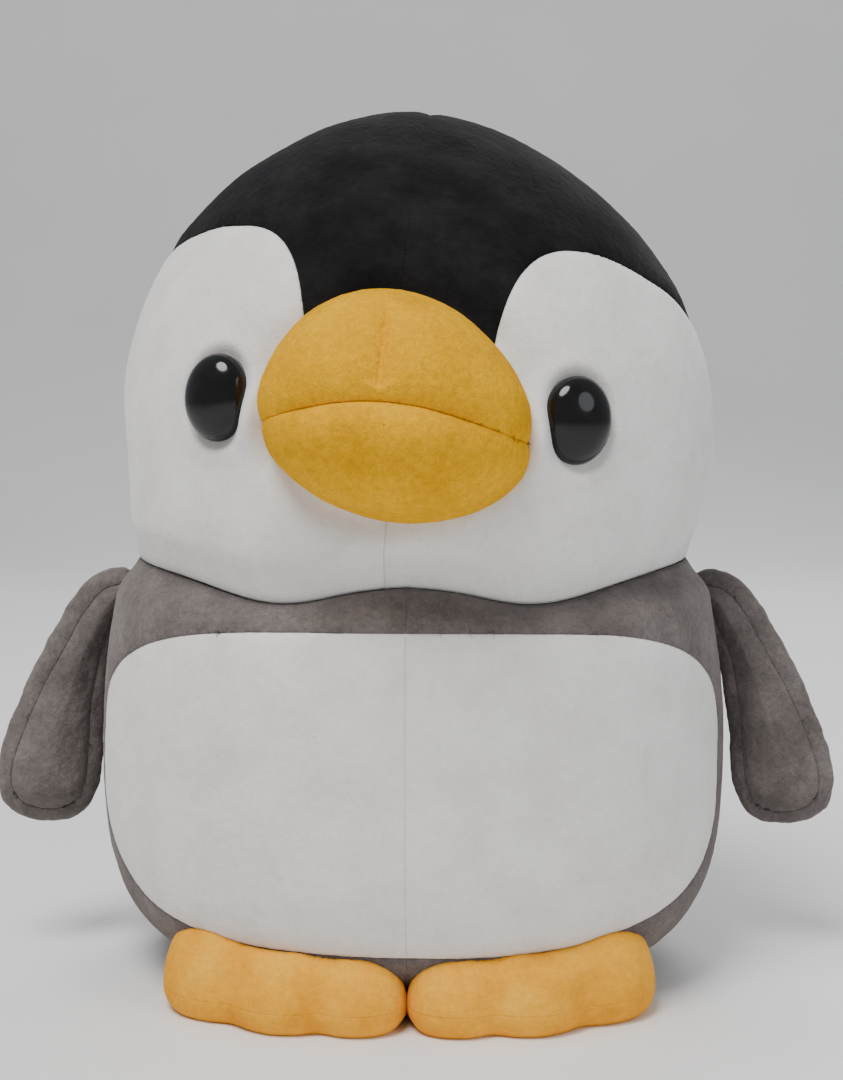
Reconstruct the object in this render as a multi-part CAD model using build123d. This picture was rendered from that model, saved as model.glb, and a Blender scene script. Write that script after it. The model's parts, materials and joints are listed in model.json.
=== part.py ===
"""Stuffed toy penguin: sewn fabric panels over a filled core, with soft wings, feet and a tail.

Frame: +Z is up, the face looks towards -Y, and the toy's own left side is +X.
The origin is the centre of the flat base, on the surface that the toy sits on.
All dimensions are millimetres.
"""
from build123d import *
import os

# ---- Driving dimensions -------------------------------------------------------------------
HEIGHT = 300.0            # floor to the crown of the head
DEPTH_RATIO = 0.86        # front-to-back size of the head and body over their width
FABRIC = 2.0              # thickness of the pile fabric on the head and body
LIMB_FABRIC = 1.5         # thickness of the fabric on wings, feet and tail
FILL_GAP = 0.3            # clearance between a fabric panel and the filling behind it

NECK_Z = 143.0            # height of the seam between head and body
BASE_RADIUS = 62.0        # half-width of the flat base
BASE_PANEL_TOP = 2.0      # height of the seam round the base panel

# Half-width of the silhouette at each height, from the base edge to the crown.
# The first point is below the base, which is cut flat at the floor.
SILHOUETTE = [
    (58.5, -1.0),
    (BASE_RADIUS, 0.0),
    (84.0, 8.5),
    (99.0, 24.0),
    (107.0, 48.0),
    (110.0, 80.0),
    (107.5, 112.0),
    (101.0, 134.0),
    (97.0, NECK_Z),
    (99.0, 156.0),
    (103.0, 178.0),
    (103.0, 204.0),
    (96.5, 232.0),
    (81.0, 261.0),
    (56.0, 284.0),
    (28.0, 296.5),
    (0.0, HEIGHT),
]

# White face: two round lobes over the eyes, open to the beak between them.
FACE_BACK_Y = 8.0         # the face panels end just behind the widest part of the head
FACE_EDGE_X = 116.0       # beyond the side of the head
FACE_MIDDLE_Z = 224.0     # height of the face under the root of the beak
LOBE = [(116.0, 205.0), (104.0, 222.0), (84.0, 246.0), (59.0, 255.0), (39.0, 245.0), (31.0, FACE_MIDDLE_Z)]

# Beak
BEAK_CENTRE = (0.0, -86.0, 199.0)
BEAK_HALF = (42.0, 40.0, 36.0)
MOUTH_Z = 200.0

# Eyes: domed ovals on a shank that passes through the face to a washer
EYE_X = 55.0
EYE_Z = 198.0
EYE_TURN = 28.0           # degrees that each eye looks outwards
EYE_HALF = (11.0, 8.0, 13.8)
HEAD_HALF_WIDTH = 103.0   # half-width of the head at the height of the eyes
SHANK_RADIUS = 2.5
SHANK_LENGTH = 14.0
SHANK_GAP = 0.1
WASHER_RADIUS = 9.0
WASHER_DEPTH = 3.0        # below the outside of the face
WASHER_THICKNESS = 1.5

# White belly panel
BELLY_HALF_WIDTH = 106.0
BELLY_BOTTOM_Z = 24.0
BELLY_TOP_Z = 129.0
BELLY_CORNER = 42.0
BELLY_BACK_Y = -8.0

# Wings: flat leaves, hinged at a narrow shoulder
WING_HINGE = (119.0, 6.0, 131.0)
WING_ROOT_RADIUS = 8.5
WING_LENGTH = 92.0
WING_INNER_HALF = 15.5    # from the middle line to the edge beside the body
WING_OUTER_HALF = 22.0
WING_THICKNESS = 19.0
WING_SPLAY = 14.0         # degrees from straight down
WING_TURN = 17.0          # degrees that the outer edge is turned forwards
WING_OUTER_KNEE = 0.52    # the widest places, as a share of the length below the hinge
WING_INNER_KNEE = 0.6
WING_TIP_X = 3.0          # the tip is a little outside the middle line
WING_CROWN_DROP = 0.44    # the thickest place, as a share of the length below the hinge
WING_CROWN_HALF = (26.4, 60.7)   # half-width and half-height of the crown that rounds the leaf

# Feet: flat pads with three toes
FOOT_HINGE_Y = -66.0
FOOT_FRONT_Y = -103.0
FOOT_INNER_X = 8.0
FOOT_OUTER_X = 79.0
FOOT_HEIGHT = 26.0
FOOT_BACK_HEIGHT = 2.2    # thickness at the sewn back edge
FOOT_SEAM_Z = 1.5         # height of the seam between the sole and the top
FOOT_SLOPE = 31.0         # degrees that the top rises forwards, under the curve of the belly
FOOT_FILL_EASE = (0.99, 0.98, 1.0)   # size of a foot's filling over the hollow for it
FOOT_HEEL_X = 68.0        # outer end of the sewn back edge
FOOT_CROWN_CENTRE = (40.0, -76.0)
FOOT_CROWN_HALF = (54.0, 38.0)   # the crown that rounds the top, seen from above
FOOT_TOES = [             # outline from above, from the inner to the outer side
    (FOOT_INNER_X, -73.0),
    (1.5, -88.0),
    (8.0, -100.0),
    (19.0, FOOT_FRONT_Y),
    (29.0, -99.5),
    (40.0, FOOT_FRONT_Y + 0.5),
    (51.0, -96.5),
    (64.0, -94.5),
    (FOOT_OUTER_X, -81.0),
    (75.0, -70.0),
]

# Tail
TAIL_HINGE = (0.0, 93.0, 32.0)
TAIL_WIDTH = 42.0
TAIL_LENGTH = 34.0
TAIL_THICKNESS = 11.0
TAIL_CROWN_Y = 13.6       # the thickest place, behind the hinge
TAIL_CROWN_HALF = (26.0, 25.5)   # the crown that rounds the pad, seen from above

# Care label, sewn into the back seam
LABEL_SIZE = (28.0, 0.6, 22.0)
LABEL_START = (0.5, 95.4) # its sewn edge, beside the back seam and just clear of the back
LABEL_Z = 66.0

BIG = 400.0               # larger than the toy, for cutting blocks


# ---- Shared helpers -----------------------------------------------------------------------
def half_space(x_sign=0, y_sign=0, z_low=None, z_high=None):
    """A large block that keeps one side of the toy, or a range of heights."""
    low_x, high_x = -BIG, BIG
    low_y, high_y = -BIG, BIG
    if x_sign > 0:
        low_x = 0.0
    if x_sign < 0:
        high_x = 0.0
    if y_sign > 0:
        low_y = 0.0
    if y_sign < 0:
        high_y = 0.0
    low_z = -BIG if z_low is None else z_low
    high_z = BIG if z_high is None else z_high
    block = Box(high_x - low_x, high_y - low_y, high_z - low_z, align=(Align.MIN,) * 3)
    return Pos(low_x, low_y, low_z) * block


def body_form(inset):
    """The head and body as one solid, its surface moved inwards by inset."""
    right = [(r, z) for r, z in SILHOUETTE]
    left = [(-r, z) for r, z in reversed(SILHOUETTE[:-1])]
    outline = Spline(right + left, tangents=[(1.0, 0.28), (1.0, -0.28)])
    base = Line(left[-1], right[0])
    profile = make_face([outline, base])
    if inset != 0.0:
        corner = Kind.INTERSECTION if inset > 0.0 else Kind.ARC
        profile = offset(profile, amount=-inset, kind=corner)
    half = Plane.XZ * profile & half_space(x_sign=1)
    whole = scale(revolve(half, Axis.Z), by=(1.0, DEPTH_RATIO, 1.0))
    return whole & half_space(z_low=inset)


def ellipsoid(centre, half_sizes, inset=0.0):
    """An ellipsoid, its half-sizes reduced by inset."""
    ball = scale(Sphere(1.0), by=tuple(half - inset for half in half_sizes))
    return Pos(*centre) * ball


def shrunk(shape, inset):
    """The shape made smaller about its middle, so that its widest places move in by inset."""
    if inset == 0.0:
        return shape
    box = shape.bounding_box()
    small = scale(shape, by=tuple(1.0 - 2 * inset / size for size in box.size))
    return Pos(*(box.center() - small.bounding_box().center())) * small


def mirrored(shape):
    """The same shape on the toy's other side."""
    return mirror(shape, about=Plane.YZ)


def write(name, shape):
    """Write one piece of the toy."""
    shape.label = name
    export_step(shape, f"parts/{name}.step")


def write_pair(name, left_shape):
    """Write a piece and its mirror image."""
    write(f"{name}_left", left_shape)
    write(f"{name}_right", mirrored(left_shape))


# ---- Head and body ------------------------------------------------------------------------
def face_block():
    """The space in front of the head that the white face panels fill."""
    lobe_right = Spline(LOBE, tangents=[(0.0, 1.0), (0.0, -1.0)])
    lobe_left = Spline([(-x, z) for x, z in reversed(LOBE)], tangents=[(0.0, 1.0), (0.0, -1.0)])
    low_z = NECK_Z - 20.0
    edges = [
        Line((-FACE_EDGE_X, low_z), (FACE_EDGE_X, low_z)),
        Line((FACE_EDGE_X, low_z), LOBE[0]),
        lobe_right,
        Line(LOBE[-1], (-LOBE[-1][0], LOBE[-1][1])),
        lobe_left,
        Line((-LOBE[0][0], LOBE[0][1]), (-FACE_EDGE_X, low_z)),
    ]
    outline = Plane.XZ * make_face(edges)
    return extrude(Pos(0, FACE_BACK_Y, 0) * outline, amount=BIG, dir=(0, -1, 0))


def belly_block():
    """The space in front of the body that the white belly panels fill."""
    height = BELLY_TOP_Z - BELLY_BOTTOM_Z
    outline = RectangleRounded(2 * BELLY_HALF_WIDTH, height, BELLY_CORNER)
    middle = Pos(0, BELLY_BACK_Y, BELLY_BOTTOM_Z + height / 2)
    return extrude(middle * (Plane.XZ * outline), amount=BIG, dir=(0, -1, 0))


def eye_frame():
    """The left eye's place, with its local -Y looking straight out of the face."""
    surface_y = -DEPTH_RATIO * (HEAD_HALF_WIDTH ** 2 - EYE_X ** 2) ** 0.5
    return Pos(EYE_X, surface_y, EYE_Z) * Rot(0, 0, EYE_TURN)


def along_eye(radius, start, length):
    """A cylinder along the left eye's axis, from a depth below the face inwards."""
    rod = Rot(-90, 0, 0) * Cylinder(radius, length, align=(Align.CENTER, Align.CENTER, Align.MIN))
    return eye_frame() * Pos(0, start, 0) * rod


def build_head_and_body():
    outer = body_form(0.0)
    skin = outer - body_form(FABRIC)
    left = half_space(x_sign=1)
    head = skin & half_space(z_low=NECK_Z) & left
    body = skin & half_space(z_high=NECK_Z) & left

    face_space = face_block()
    write_pair("cap", head - face_space)
    face = (head & face_space) - along_eye(SHANK_RADIUS + SHANK_GAP, -5.0, 20.0)
    write_pair("face", face)

    belly_space = belly_block()
    write_pair("belly", body & belly_space)
    sides = (body & half_space(z_low=BASE_PANEL_TOP)) - belly_space
    write_pair("body_front", sides & half_space(y_sign=-1))
    write_pair("body_back", sides & half_space(y_sign=1))
    write("base_panel", skin & half_space(z_high=BASE_PANEL_TOP))

    dome = eye_frame() * ellipsoid((0, 0, 0), EYE_HALF)
    eye = (dome - outer) + along_eye(SHANK_RADIUS, -3.0, SHANK_LENGTH)
    write_pair("eye", eye)
    washer = along_eye(WASHER_RADIUS, WASHER_DEPTH, WASHER_THICKNESS)
    write_pair("eye_washer", washer - along_eye(SHANK_RADIUS + SHANK_GAP, 0.0, 10.0))

    pocket = along_eye(WASHER_RADIUS + FILL_GAP, 0.0, WASHER_DEPTH + WASHER_THICKNESS + FILL_GAP)
    pocket += along_eye(SHANK_RADIUS + FILL_GAP, 0.0, SHANK_LENGTH)
    filling = body_form(FABRIC + FILL_GAP) - pocket - mirrored(pocket)
    write("core_stuffing", filling)
    return outer


def build_beak(head):
    shell = ellipsoid(BEAK_CENTRE, BEAK_HALF) - ellipsoid(BEAK_CENTRE, BEAK_HALF, LIMB_FABRIC)
    shell = shell - head
    write("beak_upper", shell & half_space(z_low=MOUTH_Z))
    write("beak_lower", shell & half_space(z_high=MOUTH_Z))
    filling = ellipsoid(BEAK_CENTRE, BEAK_HALF, LIMB_FABRIC + FILL_GAP) - body_form(-FILL_GAP)
    write("beak_stuffing", filling)


# ---- Wings --------------------------------------------------------------------------------
def wing_pad(inset):
    """A flat crowned leaf, hanging from its hinge, its surface moved in by inset."""
    root = WING_ROOT_RADIUS
    outer_knee = (WING_OUTER_HALF, -WING_LENGTH * WING_OUTER_KNEE)
    inner_knee = (-WING_INNER_HALF, -WING_LENGTH * WING_INNER_KNEE)
    tip = (WING_TIP_X, root - WING_LENGTH)
    edges = [
        ThreePointArc((-root, 0.0), (0.0, root), (root, 0.0)),
        Spline([(root, 0.0), outer_knee], tangents=[(0.0, -1.0), (0.0, -1.0)]),
        Spline([outer_knee, tip, inner_knee], tangents=[(0.0, -1.0), (0.0, 1.0)]),
        Spline([inner_knee, (-root, 0.0)], tangents=[(0.0, 1.0), (0.0, 1.0)]),
    ]
    slab = extrude(Plane.XZ * make_face(edges), amount=WING_THICKNESS, both=True)
    crown_half = (WING_CROWN_HALF[0], WING_THICKNESS / 2, WING_CROWN_HALF[1])
    return shrunk(slab & ellipsoid((0, 0, -WING_LENGTH * WING_CROWN_DROP), crown_half), inset)


def build_wings():
    place = Pos(*WING_HINGE) * Rot(0, 0, -WING_TURN) * Rot(0, -WING_SPLAY, 0)
    skin = wing_pad(0.0) - wing_pad(LIMB_FABRIC)
    write_pair("wing_outer", place * (skin & half_space(y_sign=1)))
    write_pair("wing_inner", place * (skin & half_space(y_sign=-1)))
    write_pair("wing_stuffing", place * wing_pad(LIMB_FABRIC + FILL_GAP))


# ---- Feet ---------------------------------------------------------------------------------
def foot_pad(inset):
    """A flat pad with three toes, wedged under the belly, its surface moved in by inset."""
    edges = [
        Spline(FOOT_TOES, tangents=[(0.0, -1.0), (-0.6, 1.0)]),
        Line(FOOT_TOES[-1], (FOOT_HEEL_X, FOOT_HINGE_Y)),
        Line((FOOT_HEEL_X, FOOT_HINGE_Y), (FOOT_INNER_X, FOOT_HINGE_Y)),
        Line((FOOT_INNER_X, FOOT_HINGE_Y), FOOT_TOES[0]),
    ]
    slab = extrude(make_face(edges), amount=FOOT_HEIGHT)
    crown = ellipsoid((*FOOT_CROWN_CENTRE, 0), (*FOOT_CROWN_HALF, FOOT_HEIGHT))
    block = Box(BIG, BIG, BIG, align=(Align.CENTER, Align.CENTER, Align.MIN))
    above_slope = Pos(0, FOOT_HINGE_Y, FOOT_BACK_HEIGHT) * Rot(-FOOT_SLOPE, 0, 0) * block
    return shrunk((slab & crown) - above_slope, inset)


def build_feet():
    whole = foot_pad(0.0)
    hollow = Pos(0, 0, -FOOT_SEAM_Z / 2) * foot_pad(LIMB_FABRIC)
    write_pair("foot_sole", whole & half_space(z_high=FOOT_SEAM_Z))
    write_pair("foot_top", (whole & half_space(z_low=FOOT_SEAM_Z)) - hollow)
    eased = scale(hollow, by=FOOT_FILL_EASE)
    shift = hollow.bounding_box().center() - eased.bounding_box().center()
    filling = Pos(*shift) * Pos(0, 0, -2 * FILL_GAP) * eased
    write_pair("foot_stuffing", filling & half_space(z_low=FOOT_SEAM_Z + FILL_GAP))


# ---- Tail and label -----------------------------------------------------------------------
def tail_pad(inset):
    """A short crowned tail, its root on the hinge line, its surface moved in by inset."""
    half = TAIL_WIDTH / 2
    edges = [
        Line((-half, 0.0), (half, 0.0)),
        Spline([(half, 0.0), (0.0, TAIL_LENGTH), (-half, 0.0)], tangents=[(0.0, 1.0), (0.0, -1.0)]),
    ]
    slab = extrude(make_face(edges), amount=TAIL_THICKNESS, both=True)
    crown = ellipsoid((0, TAIL_CROWN_Y, 0), (*TAIL_CROWN_HALF, TAIL_THICKNESS / 2))
    return shrunk(slab & crown, inset)


def build_tail_and_label():
    place = Pos(*TAIL_HINGE)
    skin = tail_pad(0.0) - tail_pad(LIMB_FABRIC)
    write("tail_top", place * (skin & half_space(z_low=0.0)))
    write("tail_bottom", place * (skin & half_space(z_high=0.0)))
    write("tail_stuffing", place * tail_pad(LIMB_FABRIC + FILL_GAP))

    label = Box(*LABEL_SIZE, align=(Align.MIN, Align.MIN, Align.CENTER))
    write("care_label", Pos(*LABEL_START, LABEL_Z) * label)


os.makedirs("parts", exist_ok=True)
toy_form = build_head_and_body()
build_beak(toy_form)
build_wings()
build_feet()
build_tail_and_label()
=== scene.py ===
"""Looks of a stuffed toy penguin: sewn pile-fabric panels, domed eyes, soft wings, feet and tail.

Lengths inside the shape functions are millimetres in the model's frame; meshes are in metres.
The toy faces -Y, +Z is up, and its own left side is +X.
"""
import bpy
import json
import math
import numpy as np
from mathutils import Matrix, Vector
from mathutils.kdtree import KDTree


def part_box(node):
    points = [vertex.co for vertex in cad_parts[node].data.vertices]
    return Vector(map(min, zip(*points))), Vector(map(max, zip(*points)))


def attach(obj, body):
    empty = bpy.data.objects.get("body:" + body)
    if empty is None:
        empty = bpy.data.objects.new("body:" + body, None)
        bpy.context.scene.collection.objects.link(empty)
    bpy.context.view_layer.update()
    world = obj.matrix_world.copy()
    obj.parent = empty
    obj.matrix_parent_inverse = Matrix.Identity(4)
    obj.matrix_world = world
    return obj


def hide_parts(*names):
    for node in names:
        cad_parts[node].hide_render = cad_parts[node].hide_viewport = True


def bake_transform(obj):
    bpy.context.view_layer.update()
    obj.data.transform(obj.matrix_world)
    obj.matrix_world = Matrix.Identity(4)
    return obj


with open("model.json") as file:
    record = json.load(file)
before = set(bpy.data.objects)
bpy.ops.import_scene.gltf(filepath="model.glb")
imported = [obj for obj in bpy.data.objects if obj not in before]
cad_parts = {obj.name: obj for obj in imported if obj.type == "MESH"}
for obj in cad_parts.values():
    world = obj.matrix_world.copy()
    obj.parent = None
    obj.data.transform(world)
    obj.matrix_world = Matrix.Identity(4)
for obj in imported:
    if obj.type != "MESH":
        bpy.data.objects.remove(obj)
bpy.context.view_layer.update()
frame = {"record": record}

MM = 0.001


def corner(node, which):
    """A node's lowest (0) or highest (1) corner, in millimetres."""
    return np.array(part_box(node)[which], float) / MM


JOINTS = {joint["name"]: joint for joint in frame["record"]["behaviour"]["joints"]}


def hinge(name):
    return np.array(JOINTS[name]["pos_m"], float) / MM


# ---- Sizes taken from the frame ---------------------------
CROWN_Z = corner("cap_left", 1)[2]
NECK_Z = corner("face_left", 0)[2]
HEAD_HALF = corner("face_left", 1)[0]
BODY_HALF = corner("body_front_left", 1)[0]
BELLY_LOW_Z = corner("belly_left", 0)[2]
BELLY_TOP_Z = corner("belly_left", 1)[2]
BEAK_LOW = corner("beak_lower", 0)
BEAK_TOP = corner("beak_upper", 1)
EYE_LOW = corner("eye_left", 0)
EYE_TOP = corner("eye_left", 1)
WING_HINGE = hinge("wing_left_flap")
TAIL_HINGE = hinge("tail_lift")

# ---- Shape values -----------------------------------------
HEAD_CENTRE = np.array([0.0, 0.0, 198.0])
HEAD_ROLL = math.radians(3.6)      # the features sit a little tilted on the head
HEAD_YAW = math.radians(-2.5)
SECTION = 2.12                     # roundness of the horizontal sections
SQUARE = 3.6                       # how full the belly panel's corners are
FABRIC = 1.5
FRONT_DEPTH = 0.875                # depth in front and behind, over the half width
BACK_DEPTH = 0.85
CHEEK_Z = 160.0                    # the cheeks stand out in front at this height
CHEEK_OUT = 5.5
CHEEK_SPREAD = 24.0
NUDGE = 0.0137                     # keeps a straight seam off the grid's own points
SIDES = (("left", 1), ("right", -1))


def detail(full, quick):
    return full


COLUMNS = detail(560, 280)
HEAD_ROWS = detail(190, 95)
BODY_ROWS = detail(200, 100)


# ---- Small numeric tools ----------------------------------
def smooth(low, high, value):
    """Eased step from 0 at low to 1 at high."""
    t = np.clip((value - low) / (high - low), 0.0, 1.0)
    return t * t * (3.0 - 2.0 * t)


def bump(value, width):
    """Round bump of height 1 about zero."""
    return np.exp(-(value / width) ** 2)


def lattice(ix, iy, iz, seed):
    """A repeatable random value from 0 to 1 at each whole-number point."""
    mask = np.uint64(0xFFFFFFFF)
    h = (ix * 374761393 + iy * 668265263 + iz * 1440662683 + seed * 974711).astype(np.uint64) & mask
    h = ((h ^ (h >> np.uint64(13))) * np.uint64(1274126177)) & mask
    h = ((h ^ (h >> np.uint64(15))) * np.uint64(2246822519)) & mask
    return (h ^ (h >> np.uint64(16))).astype(float) / 4294967295.0


def noise(points, size, seed):
    """Smooth value noise from -1 to 1 with cells of the given size."""
    p = points / size + 1000.0
    cell = np.floor(p).astype(np.int64)
    f = p - cell
    f = f * f * (3.0 - 2.0 * f)
    total = np.zeros(len(points))
    for dx in (0, 1):
        wx = f[:, 0] if dx else 1.0 - f[:, 0]
        for dy in (0, 1):
            wy = f[:, 1] if dy else 1.0 - f[:, 1]
            for dz in (0, 1):
                wz = f[:, 2] if dz else 1.0 - f[:, 2]
                total += wx * wy * wz * lattice(cell[:, 0] + dx, cell[:, 1] + dy, cell[:, 2] + dz, seed)
    return total * 2.0 - 1.0


def turn_matrix(axis, angle):
    c, s = math.cos(angle), math.sin(angle)
    if axis == "x":
        return np.array([[1, 0, 0], [0, c, -s], [0, s, c]])
    if axis == "y":
        return np.array([[c, 0, s], [0, 1, 0], [-s, 0, c]])
    return np.array([[c, -s, 0], [s, c, 0], [0, 0, 1]])


HEAD_TURN = turn_matrix("z", HEAD_YAW) @ turn_matrix("y", HEAD_ROLL)


def to_face(points):
    """Points of the head in the frame of the face, which is turned a little on the head."""
    return (points - HEAD_CENTRE) @ HEAD_TURN + HEAD_CENTRE


def from_face(points):
    return (points - HEAD_CENTRE) @ HEAD_TURN.T + HEAD_CENTRE


# ---- Meshes -----------------------------------------------
def grid_faces(rows, columns, closed):
    """Triangles of a grid of points, row by row; closed joins the last column to the first."""
    last = columns if closed else columns - 1
    i, j = np.meshgrid(np.arange(rows - 1), np.arange(last), indexing="ij")
    a = (i * columns + j).ravel()
    b = (i * columns + (j + 1) % columns).ravel()
    c, d = a + columns, b + columns
    flip = ((i + j) % 2).ravel().astype(bool)
    first = np.where(flip[:, None], np.stack([a, b, c], 1), np.stack([a, b, d], 1))
    second = np.where(flip[:, None], np.stack([b, d, c], 1), np.stack([a, d, c], 1))
    return np.concatenate([first, second])


def facing(faces, side):
    """The left side's triangles for either side: mirrored ones are turned round."""
    return faces if side > 0 else faces[:, ::-1]


def normals_of(points, faces):
    """Unit vertex normals, weighted by area."""
    a, b, c = points[faces[:, 0]], points[faces[:, 1]], points[faces[:, 2]]
    flat = np.cross(b - a, c - a)
    total = np.zeros_like(points)
    for k in range(3):
        for axis in range(3):
            total[:, axis] += np.bincount(faces[:, k], flat[:, axis], len(points))
    return total / np.maximum(np.linalg.norm(total, axis=1, keepdims=True), 1e-12)


def split(points, faces, field):
    """Cuts the triangles along field = 0. Returns points, faces, and the new points' numbers."""
    value = field(points)
    above = value > 0.0
    side = above[faces]
    count = side.sum(1)
    mixed = (count == 1) | (count == 2)
    if not mixed.any():
        return points, faces, np.zeros(0, int)
    cut, keep = faces[mixed], faces[~mixed]
    lone_is_above = count[mixed] == 1
    is_lone = above[cut] == lone_is_above[:, None]
    first = is_lone.argmax(1)
    row = np.arange(len(cut))
    a, b, c = cut[row, first], cut[row, (first + 1) % 3], cut[row, (first + 2) % 3]
    edges = np.concatenate([np.stack([a, b], 1), np.stack([a, c], 1)])
    edges.sort(axis=1)
    unique, where = np.unique(edges, axis=0, return_inverse=True)
    where = where.reshape(-1)
    low, high = value[unique[:, 0]], value[unique[:, 1]]
    t = np.clip(low / (low - high), 0.03, 0.97)[:, None]
    fresh = points[unique[:, 0]] * (1.0 - t) + points[unique[:, 1]] * t
    ab, ac = where[: len(cut)] + len(points), where[len(cut):] + len(points)
    made = [np.stack([a, ab, ac], 1), np.stack([ab, b, c], 1), np.stack([ab, c, ac], 1)]
    numbers = np.arange(len(fresh)) + len(points)
    return np.concatenate([points, fresh]), np.concatenate([keep] + made), numbers


def sides(points, faces, field, numbers):
    """Whether each triangle lies on the positive side of a field that it was cut along."""
    value = field(points)
    value[numbers] = 0.0
    corners = value[faces]
    strongest = np.abs(corners).argmax(1)
    return corners[np.arange(len(faces)), strongest] > 0.0


def reach(points, seam_points):
    """Distance of each point to the nearest of the seam points."""
    tree = KDTree(len(seam_points))
    for k, p in enumerate(seam_points):
        tree.insert(p, k)
    tree.balance()
    find = tree.find
    return np.array([find(p)[2] for p in points])


def pillow(distance, depth, width):
    """How far the fabric is drawn in at a distance from a seam: a round, stuffed edge."""
    t = np.clip(distance / width, 0.0, 1.0)
    round_edge = 1.0 - np.sqrt(np.clip(1.0 - (1.0 - t) ** 2, 0.0, 1.0))
    return -depth * (0.45 * round_edge + 0.55 * (1.0 - t) ** 2)


def add_object(name, data):
    obj = bpy.data.objects.new(name, data)
    bpy.context.scene.collection.objects.link(obj)
    return obj


def piece(name, points, faces, material, body, replaced=(), thick=FABRIC):
    """One named mesh object from points in millimetres and triangles."""
    used, index = np.unique(faces, return_inverse=True)
    faces = index.reshape(faces.shape)
    points = points[used] * MM
    mesh = bpy.data.meshes.new(name)
    mesh.vertices.add(len(points))
    mesh.vertices.foreach_set("co", points.astype(np.float32).ravel())
    mesh.loops.add(faces.size)
    mesh.loops.foreach_set("vertex_index", faces.astype(np.int32).ravel())
    mesh.polygons.add(len(faces))
    mesh.polygons.foreach_set("loop_start", np.arange(0, faces.size, 3, dtype=np.int32))
    mesh.update(calc_edges=True)
    mesh.validate()
    mesh.shade_smooth()
    obj = add_object(name, mesh)
    mesh.materials.append(material)
    if thick:
        shell = obj.modifiers.new("fabric_thickness", "SOLIDIFY")
        shell.thickness = thick * MM
        shell.offset = -1.0
    if body:
        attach(obj, body)
    if replaced:
        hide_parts(*replaced)
    return obj


# ---- Materials --------------------------------------------
def new_material(name):
    """A material with its nodes, links, shader and object coordinate."""
    material = bpy.data.materials.new(name)
    material.use_nodes = True
    nodes, links = material.node_tree.nodes, material.node_tree.links
    coordinate = nodes.new("ShaderNodeTexCoord").outputs["Object"]
    return material, nodes, links, nodes["Principled BSDF"], coordinate


def set_inputs(node, values):
    for socket, value in values.items():
        node.inputs[socket].default_value = value


def add_noise(nodes, links, coordinate, scale, detail, roughness):
    texture = nodes.new("ShaderNodeTexNoise")
    set_inputs(texture, {"Scale": scale, "Detail": detail, "Roughness": roughness})
    links.new(coordinate, texture.inputs["Vector"])
    return texture.outputs["Fac"]


def add_ramp(nodes, links, source, stops):
    ramp = nodes.new("ShaderNodeValToRGB")
    elements = ramp.color_ramp.elements
    for k, (place, colour) in enumerate(stops):
        element = elements[k] if k < 2 else elements.new(place)
        element.position = place
        element.color = (*colour, 1.0)
    links.new(source, ramp.inputs["Fac"])
    return ramp.outputs["Color"]


def add_mix(nodes, links, kind, amount, first, second):
    mix = nodes.new("ShaderNodeMix")
    mix.data_type = "RGBA"
    mix.blend_type = kind
    mix.inputs["Factor"].default_value = amount
    links.new(first, mix.inputs["A"])
    links.new(second, mix.inputs["B"])
    return mix.outputs["Result"]


def add_bump(nodes, links, height, strength, distance):
    relief = nodes.new("ShaderNodeBump")
    set_inputs(relief, {"Strength": strength, "Distance": distance})
    links.new(height, relief.inputs["Height"])
    return relief


def pile_material(name, dark, base, light, sheen, sheen_tint, fibre=1.0, speckle=0.35):
    """Short dense plush: fibre tips, brushed patches and a soft sheen at grazing angles."""
    material, nodes, links, shader, coordinate = new_material(name)
    patches = add_noise(nodes, links, coordinate, 55.0, 3.0, 0.6)
    tufts = add_noise(nodes, links, coordinate, 420.0, 3.0, 0.65)
    tips = add_noise(nodes, links, coordinate, 1500.0, 2.0, 0.7)
    brushed = add_ramp(nodes, links, patches, [(0.30, dark), (0.72, light), (0.5, base)])
    grain = add_ramp(nodes, links, tufts, [(0.25, (0.62,) * 3), (0.75, (1.18,) * 3)])
    tip_tone = add_ramp(nodes, links, tips, [(0.3, (0.72,) * 3), (0.7, (1.15,) * 3)])
    colour = add_mix(nodes, links, "MULTIPLY", speckle, brushed, grain)
    colour = add_mix(nodes, links, "MULTIPLY", speckle, colour, tip_tone)
    links.new(colour, shader.inputs["Base Color"])
    set_inputs(shader, {"Roughness": 0.92, "Specular IOR Level": 0.06, "Sheen Weight": sheen,
                        "Sheen Roughness": 0.45, "Sheen Tint": (*sheen_tint, 1.0)})
    coarse = add_bump(nodes, links, tufts, 0.35 * fibre, 0.0012)
    fine = add_bump(nodes, links, tips, 0.5 * fibre, 0.0005)
    links.new(coarse.outputs["Normal"], fine.inputs["Normal"])
    links.new(fine.outputs["Normal"], shader.inputs["Normal"])
    return material


def gloss_material(name, colour, roughness, coat):
    """Polished moulded plastic with faint handling marks."""
    material, nodes, links, shader, coordinate = new_material(name)
    marks = add_noise(nodes, links, coordinate, 260.0, 4.0, 0.6)
    worn = tuple(c * 1.6 + 0.002 for c in colour)
    tone = add_ramp(nodes, links, marks, [(0.35, colour), (0.75, worn)])
    links.new(tone, shader.inputs["Base Color"])
    rough = nodes.new("ShaderNodeMapRange")
    set_inputs(rough, {"From Min": 0.3, "From Max": 0.7, "To Min": roughness, "To Max": roughness + 0.06})
    links.new(marks, rough.inputs["Value"])
    links.new(rough.outputs["Result"], shader.inputs["Roughness"])
    set_inputs(shader, {"Specular IOR Level": 0.28, "Coat Weight": coat, "Coat Roughness": 0.03})
    return material


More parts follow.
